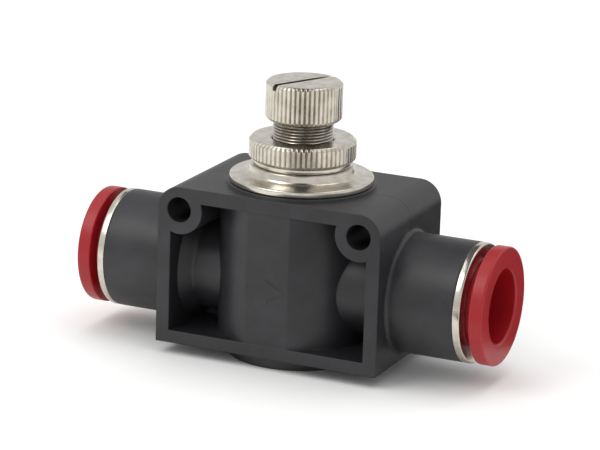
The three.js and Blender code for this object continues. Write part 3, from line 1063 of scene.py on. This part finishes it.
STUDIO_LIGHT = 0.8  # strength of the white surroundings
LAMPS = (  # name, place in metres, width in metres, watts
    ("key", (-0.35, -0.45, 0.65), 0.45, 1.7),
    ("top", (0.0, 0.15, 0.8), 0.7, 2.3),
)
DARK_CARDS = (  # name, heading in degrees from +X, near end, far end, half width, height in metres
    ("front_card", -66, 0.055, 0.125, 0.055, 0.001),
    ("back_card", 66, 0.03, 0.3, 0.06, 0.001),
    ("overhead_card", 114, -0.6, 0.85, 0.12, 0.45),
)
CAMERA_PLACE = (0.204703, -0.461728, 0.152137)  # from where the valve's two axes cross, metres
CAMERA_RIGHT, CAMERA_UP = (0.90982, 0.4138, 0.03169), (-0.14709, 0.25011, 0.95698)
CAMERA_BACK = (0.38807, -0.87534, 0.28842)
CAMERA_AIM = (0.000462, 0.015097)  # how far right and up of straight ahead it points, as slopes
LENS, SENSOR = 193.35, 36  # mm


class FLOWVALVE_OT_stage(bpy.types.Operator):
    """Lay the pale floor, hang the soft lights and set the camera"""

    bl_idname = "flow_valve.stage"
    bl_label = "Stage"

    def execute(self, context):
        scene = context.scene
        self.lay_floor(scene)
        self.hang_dark_cards(scene)
        self.light(scene)
        self.set_camera(scene)
        return {"FINISHED"}

    def lay_floor(self, scene):
        work = bmesh.new()
        bmesh.ops.create_grid(work, x_segments=1, y_segments=1, size=6)
        mesh = bpy.data.meshes.new("floor")
        work.to_mesh(mesh)
        work.free()
        floor = bpy.data.objects.new("floor", mesh)
        scene.collection.objects.link(floor)
        tone = scene.flow_valve_colours.floor
        mesh.materials.append(plain_finish("studio_floor", tone, 0.8, 0.9, 2, 0.005))

    def hang_dark_cards(self, scene):
        """Sets dark cards out of view that only shiny faces see: one on the ground in front, one
        on the ground behind to the right, and a long one overhead."""
        tone = scene.flow_valve_colours.card
        paper = plain_finish("dark_card", tone, 0.8, 0.9, 2, 0.005)
        for name, heading, near, far, half_width, height in DARK_CARDS:
            turn = Matrix.Rotation(math.radians(heading), 4, "Z")
            low, high = (near, -half_width, height), (far, half_width, height + MM)
            mesh = block_mesh(low, high, turn)
            card = bpy.data.objects.new(name, mesh)
            scene.collection.objects.link(card)
            mesh.materials.append(paper)
            card.visible_camera = card.visible_diffuse = card.visible_shadow = False

    def light(self, scene):
        world = bpy.data.worlds.new("studio")
        world.use_nodes = True
        background = world.node_tree.nodes["Background"]
        background.inputs["Color"].default_value = (1, 1, 1, 1)
        background.inputs["Strength"].default_value = STUDIO_LIGHT
        scene.world = world
        target = Vector((0, 0, 20 * MM))
        for name, place, size, watts in LAMPS:
            data = bpy.data.lights.new(name, "AREA")
            data.shape, data.size, data.energy = "SQUARE", size, watts
            lamp = bpy.data.objects.new(name, data)
            lamp.location = place
            lamp.rotation_euler = (target - Vector(place)).to_track_quat("-Z", "Y").to_euler()
            scene.collection.objects.link(lamp)

    def set_camera(self, scene):
        """Puts the camera to the right of the front and above, 0.53 m away, with a long lens."""
        data = bpy.data.cameras.new("camera")
        data.sensor_width, data.lens = SENSOR, LENS
        camera = bpy.data.objects.new("camera", data)
        right, up, back = Vector(CAMERA_RIGHT), Vector(CAMERA_UP), Vector(CAMERA_BACK)
        aim = (right * CAMERA_AIM[0] + up * CAMERA_AIM[1] - back).normalized()
        right = (right + aim * -right.dot(aim)).normalized()
        turn = Matrix((right, right.cross(aim), -aim)).transposed().to_4x4()
        place = Vector(CAMERA_PLACE) + Vector((0, 0, AXIS))
        camera.matrix_world = Matrix.Translation(place) @ turn
        data.clip_start, data.clip_end = 0.01, 50
        scene.collection.objects.link(camera)
        scene.camera = camera
        scene.view_settings.view_transform = "Standard"


class FLOWVALVE_PT_panel(bpy.types.Panel):
    """Lists the valve's pieces, sizes and colours"""

    bl_idname = "FLOWVALVE_PT_panel"
    bl_label = "Flow control valve"
    bl_space_type = "VIEW_3D"
    bl_region_type = "UI"
    bl_category = "Flow valve"

    def draw(self, context):
        layout = self.layout
        for operator in OPERATORS:
            layout.operator(operator.bl_idname)
        for group in (context.scene.flow_valve_sizes, context.scene.flow_valve_colours):
            box = layout.box()
            for name in group.bl_rna.properties.keys():
                if name not in ("rna_type", "name"):
                    box.prop(group, name)


OPERATORS = (
    FLOWVALVE_OT_body,
    FLOWVALVE_OT_bush,
    FLOWVALVE_OT_spindle,
    FLOWVALVE_OT_lock_nut,
    FLOWVALVE_OT_knob,
    FLOWVALVE_OT_port_rings,
    FLOWVALVE_OT_collets,
    FLOWVALVE_OT_seals,
    FLOWVALVE_OT_inner_pieces,
    FLOWVALVE_OT_stage,
)
CLASSES = (FlowValveSizes, FlowValveColours, *OPERATORS, FLOWVALVE_PT_panel)


def register():
    for cls in CLASSES:
        bpy.utils.register_class(cls)
    bpy.types.Scene.flow_valve_sizes = bpy.props.PointerProperty(type=FlowValveSizes)
    bpy.types.Scene.flow_valve_colours = bpy.props.PointerProperty(type=FlowValveColours)


def unregister():
    del bpy.types.Scene.flow_valve_colours
    del bpy.types.Scene.flow_valve_sizes
    for cls in reversed(CLASSES):
        bpy.utils.unregister_class(cls)


def main():
    register()
    bpy.ops.flow_valve.stage()
    bpy.ops.flow_valve.body()
    bpy.ops.flow_valve.bush()
    bpy.ops.flow_valve.spindle()
    bpy.ops.flow_valve.lock_nut()
    bpy.ops.flow_valve.knob()
    bpy.ops.flow_valve.port_rings()
    bpy.ops.flow_valve.collets()
    bpy.ops.flow_valve.seals()
    bpy.ops.flow_valve.inner_pieces()


if __name__ == "__main__":
    main()
